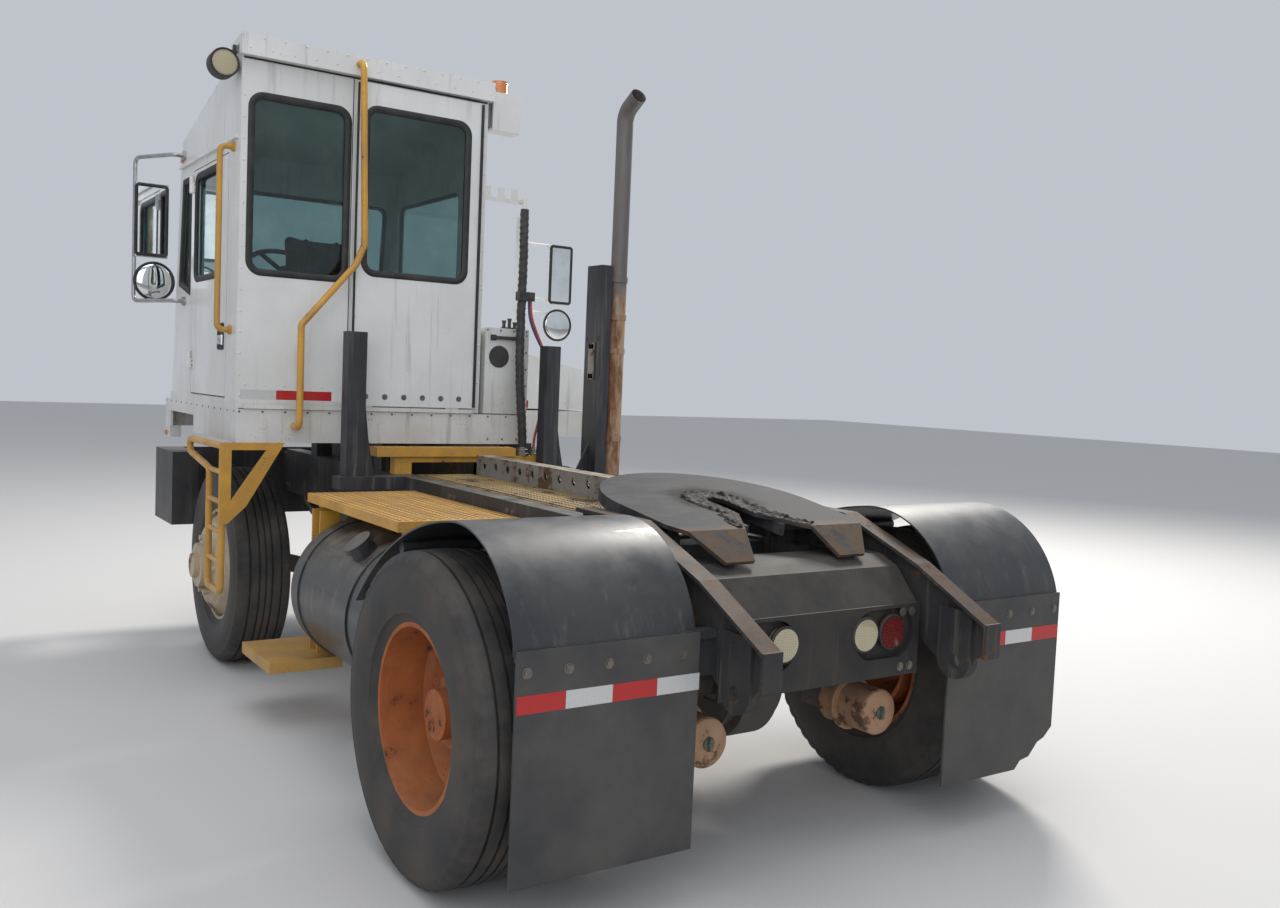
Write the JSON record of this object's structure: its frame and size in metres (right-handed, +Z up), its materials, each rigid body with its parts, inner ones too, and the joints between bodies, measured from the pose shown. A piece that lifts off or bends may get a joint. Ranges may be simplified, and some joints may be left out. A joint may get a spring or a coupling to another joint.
{
  "type": "terminal tractor",
  "caption": "Terminal tractor with offset cab, tilting engine hood, lift boom with fifth wheel, ramps and twin rear wheels",
  "frame": {"origin": "on the ground, midway along the length and across the width", "axes": "+X forward, +Y to the vehicle's left, +Z up"},
  "size_m": [4.754, 2.77, 3.096],
  "materials": {
    "chassis_black": "chassis paint, dusty",
    "cab_white": "white enamel, dirty and streaked",
    "safety_yellow": "yellow enamel, worn",
    "tank_black": "black enamel",
    "wheel_beige": "pale enamel under dust",
    "wheel_rust": "rust over worn enamel",
    "walkway_ochre": "worn yellow-brown enamel",
    "channel_grey": "grey enamel with rust",
    "cast_dark": "oily casting",
    "tyre_rubber": "worn tread",
    "flap_rubber": "flat rubber",
    "hose_black": "wrapped hose",
    "hose_red": "coiled air line plastic",
    "hose_blue": "air line plastic",
    "window_glass": "clear with dust",
    "seat_fabric": "worn cloth",
    "dash_plastic": "grained",
    "wheel_plastic": "grained",
    "lamp_amber": "lens",
    "lamp_red": "lens",
    "lamp_clear": "lens",
    "lamp_black": "housing",
    "exhaust_steel": "heat stained, rusty below",
    "ram_chrome": "hard chrome"
  },
  "bodies": {
    "chassis": {"air_hose_blue": "hose_blue", "air_hose_red": "hose_red", "amber_lamps": "lamp_amber", "boarding_steps": "safety_yellow", "brake_chambers": "chassis_black", "cab_base": "cab_white", "cab_front_wall": "cab_white", "cab_glass": "window_glass", "cab_interior": "dash_plastic", "cab_left_side": "cab_white", "cab_rear_wall": "cab_white", "cab_right_side": "cab_white", "cab_roof": "cab_white", "clear_lamps": "lamp_clear", "deck_gratings": "safety_yellow", "engine": "cast_dark", "exhaust_stack": "exhaust_steel", "fenders": "chassis_black", "frame_crossmembers": "chassis_black", "frame_rails": "chassis_black", "front_axle": "cast_dark", "front_bumper": "chassis_black", "fuel_tank": "tank_black", "grab_rails": "safety_yellow", "hose_bundle": "hose_black", "hose_gland": "hose_black", "hose_hook": "chassis_black", "mirror_left": "chassis_black", "mud_flaps": "flap_rubber", "ramps": "chassis_black", "rear_apron": "chassis_black", "rear_axle": "cast_dark", "rear_posts": "chassis_black", "seat_cushions": "seat_fabric", "tail_lamps_red": "lamp_red", "work_lamp": "lamp_black"},
    "front_left_knuckle": {"knuckle_left": "cast_dark"},
    "front_right_knuckle": {"knuckle_right": "cast_dark"},
    "front_left_wheel": {"front_wheel_left": "wheel_beige", "front_tyre_left": "tyre_rubber"},
    "front_right_wheel": {"front_wheel_right": "wheel_beige", "front_tyre_right": "tyre_rubber"},
    "rear_left_wheels": {"rear_wheels_left": "wheel_rust", "rear_tyres_left": "tyre_rubber"},
    "rear_right_wheels": {"rear_wheels_right": "wheel_rust", "rear_tyres_right": "tyre_rubber"},
    "hood": {"engine_hood": "cab_white", "hood_grille": "chassis_black", "mirror_right": "cab_white"},
    "left_door": {"driver_door": "cab_white", "driver_door_glass": "window_glass"},
    "back_door": {"rear_door": "cab_white", "rear_door_glass": "window_glass"},
    "hand_wheel": {"steering_wheel": "wheel_plastic"},
    "boom": {"boom_frame": "chassis_black", "boom_walkway": "walkway_ochre", "boom_channel": "channel_grey"},
    "coupler": {"fifth_wheel": "cast_dark"},
    "barrels": {"lift_barrels": "chassis_black"},
    "rams": {"lift_rods": "ram_chrome"}
  },
  "joints": [
    {"name": "steer_left", "type": "hinge", "parent": "chassis", "child": "front_left_knuckle", "pos_m": [1.38, 0.79, 0.51], "axis": [0, 0, 1], "range_deg": [-35, 35]},
    {"name": "steer_right", "type": "hinge", "parent": "chassis", "child": "front_right_knuckle", "pos_m": [1.38, -0.79, 0.51], "axis": [0, 0, 1], "range_deg": [-35, 35]},
    {"name": "roll_front_left", "type": "hinge", "parent": "front_left_knuckle", "child": "front_left_wheel", "pos_m": [1.38, 0.95, 0.51], "axis": [0, 1, 0], "continuous": true},
    {"name": "roll_front_right", "type": "hinge", "parent": "front_right_knuckle", "child": "front_right_wheel", "pos_m": [1.38, -0.95, 0.51], "axis": [0, 1, 0], "continuous": true},
    {"name": "roll_rear_left", "type": "hinge", "parent": "chassis", "child": "rear_left_wheels", "pos_m": [-1.583, 0.946, 0.51], "axis": [0, 1, 0], "continuous": true},
    {"name": "roll_rear_right", "type": "hinge", "parent": "chassis", "child": "rear_right_wheels", "pos_m": [-1.583, -0.946, 0.51], "axis": [0, 1, 0], "continuous": true},
    {"name": "hood_tilt", "type": "hinge", "parent": "chassis", "child": "hood", "pos_m": [2.232, -0.63, 1.366], "axis": [0, 1, 0], "range_deg": [0, 60]},
    {"name": "door_left", "type": "hinge", "parent": "chassis", "child": "left_door", "pos_m": [1.547, 1.184, 2], "axis": [0, 0, -1], "range_deg": [0, 75]},
    {"name": "door_rear_slide", "type": "slide", "parent": "chassis", "child": "back_door", "axis": [0, 1, 0], "range_m": [0, 0.5]},
    {"name": "steering_column", "type": "hinge", "parent": "chassis", "child": "hand_wheel", "pos_m": [1.437, 0.72, 2.06], "axis": [-0.6428, 0, 0.766], "range_deg": [-705, 705]},
    {"name": "boom_lift", "type": "hinge", "parent": "chassis", "child": "boom", "pos_m": [0.417, 0, 0.93], "axis": [0, 1, 0], "range_deg": [0, 12]},
    {"name": "fifth_wheel_tilt", "type": "hinge", "parent": "boom", "child": "coupler", "pos_m": [-1.543, 0, 1.022], "axis": [0, 1, 0], "range_deg": [0, 10]},
    {"name": "barrel_swing", "type": "hinge", "parent": "chassis", "child": "barrels", "pos_m": [-1.123, 0, 0.47], "axis": [0, 1, 0], "range_deg": [0, 6]},
    {"name": "ram_stroke", "type": "slide", "parent": "barrels", "child": "rams", "axis": [-0.124, 0, 0.9923], "range_m": [0, 0.33]}
  ],
  "couplings": [
    {"joint": "steer_right", "follows": "steer_left", "ratio": 1},
    {"joint": "steering_column", "follows": "steer_left", "ratio": 20},
    {"joint": "barrel_swing", "follows": "boom_lift", "ratio": 0.47105},
    {"joint": "ram_stroke", "follows": "boom_lift", "m_per_rad": 1.5697}
  ]
}
